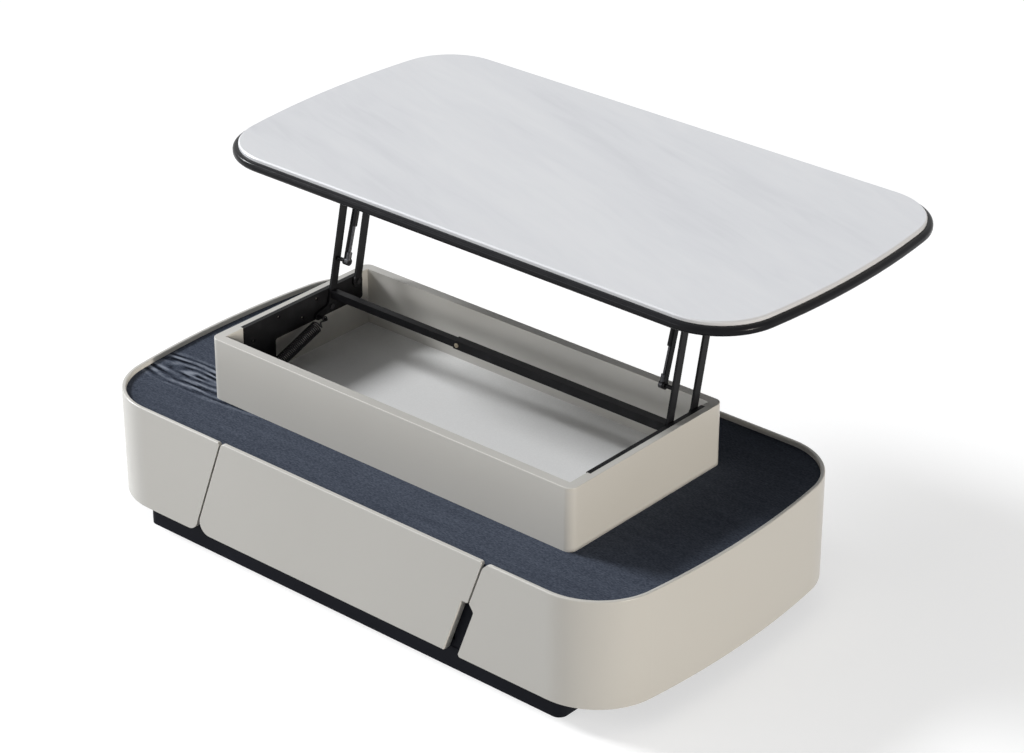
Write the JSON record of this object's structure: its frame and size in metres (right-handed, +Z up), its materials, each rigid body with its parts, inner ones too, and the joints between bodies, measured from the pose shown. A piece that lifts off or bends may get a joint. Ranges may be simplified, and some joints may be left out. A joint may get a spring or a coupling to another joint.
{
  "type": "lift top coffee table",
  "caption": "Oblong coffee table with bowed ends: a drum base with a slant-ended drawer, an open storage tray, and a stone top that lifts on sprung swing arms.",
  "frame": {"origin": "centre of the plinth, on the floor", "axes": "+X along the table's length, -Y out of the drawer's front, +Z up"},
  "size_m": [1.3, 1.0077, 0.6615],
  "materials": {
    "greige_lacquer": "satin greige lacquer on board",
    "tray_lining": "pale matt laminate",
    "dark_ash": "open-pored ash veneer stained blue-black",
    "plinth_black": "charcoal matt lacquer on board",
    "carcass_board": "laminated board",
    "drawer_box": "linen laminate on board",
    "runner_steel": "zinc plated",
    "black_steel": "black powder coat",
    "spring_steel": "black phosphated spring wire",
    "bright_steel": "yellow zinc plate",
    "dark_fixings": "black zinc",
    "edge_black": "black satin lacquer on a bullnosed edge",
    "pale_stone": "honed pale grey marble look",
    "bumper_rubber": "soft black"
  },
  "bodies": {
    "base": {"plinth_front": "plinth_black", "plinth_back": "plinth_black", "plinth_left": "plinth_black", "plinth_right": "plinth_black", "plinth_centre": "plinth_black", "slot_backer": "plinth_black", "bottom_panel": "plinth_black", "partition_left": "carcass_board", "partition_right": "carcass_board", "deck": "dark_ash", "tray_floor": "tray_lining", "shell_left": "greige_lacquer", "shell_right": "greige_lacquer", "back_panel": "greige_lacquer", "tray_front": "greige_lacquer", "tray_back": "greige_lacquer", "tray_left": "greige_lacquer", "tray_right": "greige_lacquer", "side_plate_left": "black_steel", "side_plate_right": "black_steel", "plate_screws": "dark_fixings", "lower_pins_left": "dark_fixings", "lower_pins_right": "dark_fixings", "spring_left": "spring_steel", "spring_right": "spring_steel", "runner_outer_left": "runner_steel", "runner_outer_right": "runner_steel"},
    "lift_arms": {"front_arm_left": "black_steel", "front_arm_right": "black_steel", "crossbar_sleeve": "black_steel", "crossbar_inner": "black_steel", "crossbar_screw": "bright_steel"},
    "rear_arm_left": {"rear_arm_left": "black_steel"},
    "rear_arm_right": {"rear_arm_right": "black_steel"},
    "top": {"top_board": "edge_black", "stone_slab": "pale_stone", "bumpers": "bumper_rubber", "top_rail_left": "black_steel", "top_rail_right": "black_steel", "rail_screws": "dark_fixings", "upper_pins_left": "dark_fixings", "upper_pins_right": "dark_fixings"},
    "drawer": {"drawer_front": "greige_lacquer", "drawer_left": "drawer_box", "drawer_right": "drawer_box", "drawer_back": "drawer_box", "drawer_bottom": "drawer_box", "runner_inner_left": "runner_steel", "runner_inner_right": "runner_steel"},
    "strut_rod_left": {"strut_bar_left": "black_steel", "strut_rod_left": "dark_fixings"},
    "strut_tube_left": {"strut_tube_left": "black_steel"},
    "runner_mid_left": {"runner_mid_left": "runner_steel"},
    "strut_rod_right": {"strut_bar_right": "black_steel", "strut_rod_right": "dark_fixings"},
    "strut_tube_right": {"strut_tube_right": "black_steel"},
    "runner_mid_right": {"runner_mid_right": "runner_steel"}
  },
  "joints": [
    {"name": "lift", "type": "hinge", "parent": "base", "child": "lift_arms", "pos_m": [0, 0.076, 0.342], "axis": [1, 0, 0], "range_deg": [0, 103.5], "deforming": ["spring_left", "spring_right"]},
    {"name": "top_level", "type": "hinge", "parent": "lift_arms", "child": "top", "pos_m": [0, 0.13119, 0.59096], "axis": [1, 0, 0], "range_deg": [-103.5, 0]},
    {"name": "drawer_slide", "type": "slide", "parent": "base", "child": "drawer", "axis": [0, -1, 0], "range_m": [0, 0.3]},
    {"name": "rear_arm_left_swing", "type": "hinge", "parent": "base", "child": "rear_arm_left", "pos_m": [0, 0.152, 0.368], "axis": [1, 0, 0], "range_deg": [0, 103.5]},
    {"name": "strut_left_swing", "type": "hinge", "parent": "lift_arms", "child": "strut_rod_left", "pos_m": [0, 0.09734, 0.43826], "axis": [1, 0, 0], "range_deg": [0, 4.87]},
    {"name": "strut_left_slide", "type": "slide", "parent": "strut_rod_left", "child": "strut_tube_left", "axis": [0, 0.2786, 0.9604], "range_m": [-0.00967, 0]},
    {"name": "runner_left_slide", "type": "slide", "parent": "base", "child": "runner_mid_left", "axis": [0, -1, 0], "range_m": [0, 0.15]},
    {"name": "rear_arm_right_swing", "type": "hinge", "parent": "base", "child": "rear_arm_right", "pos_m": [0, 0.152, 0.368], "axis": [1, 0, 0], "range_deg": [0, 103.5]},
    {"name": "strut_right_swing", "type": "hinge", "parent": "lift_arms", "child": "strut_rod_right", "pos_m": [0, 0.09734, 0.43826], "axis": [1, 0, 0], "range_deg": [0, 4.87]},
    {"name": "strut_right_slide", "type": "slide", "parent": "strut_rod_right", "child": "strut_tube_right", "axis": [0, 0.2786, 0.9604], "range_m": [-0.00967, 0]},
    {"name": "runner_right_slide", "type": "slide", "parent": "base", "child": "runner_mid_right", "axis": [0, -1, 0], "range_m": [0, 0.15]}
  ],
  "couplings": [
    {"joint": "top_level", "follows": "lift", "ratio": -1},
    {"joint": "rear_arm_left_swing", "follows": "lift", "ratio": 1},
    {"joint": "strut_left_swing", "follows": "lift", "ratio": 0.047},
    {"joint": "strut_left_slide", "follows": "lift", "m_per_rad": -0.0053},
    {"joint": "runner_left_slide", "follows": "drawer_slide", "ratio": 0.5},
    {"joint": "rear_arm_right_swing", "follows": "lift", "ratio": 1},
    {"joint": "strut_right_swing", "follows": "lift", "ratio": 0.047},
    {"joint": "strut_right_slide", "follows": "lift", "m_per_rad": -0.0053},
    {"joint": "runner_right_slide", "follows": "drawer_slide", "ratio": 0.5}
  ]
}
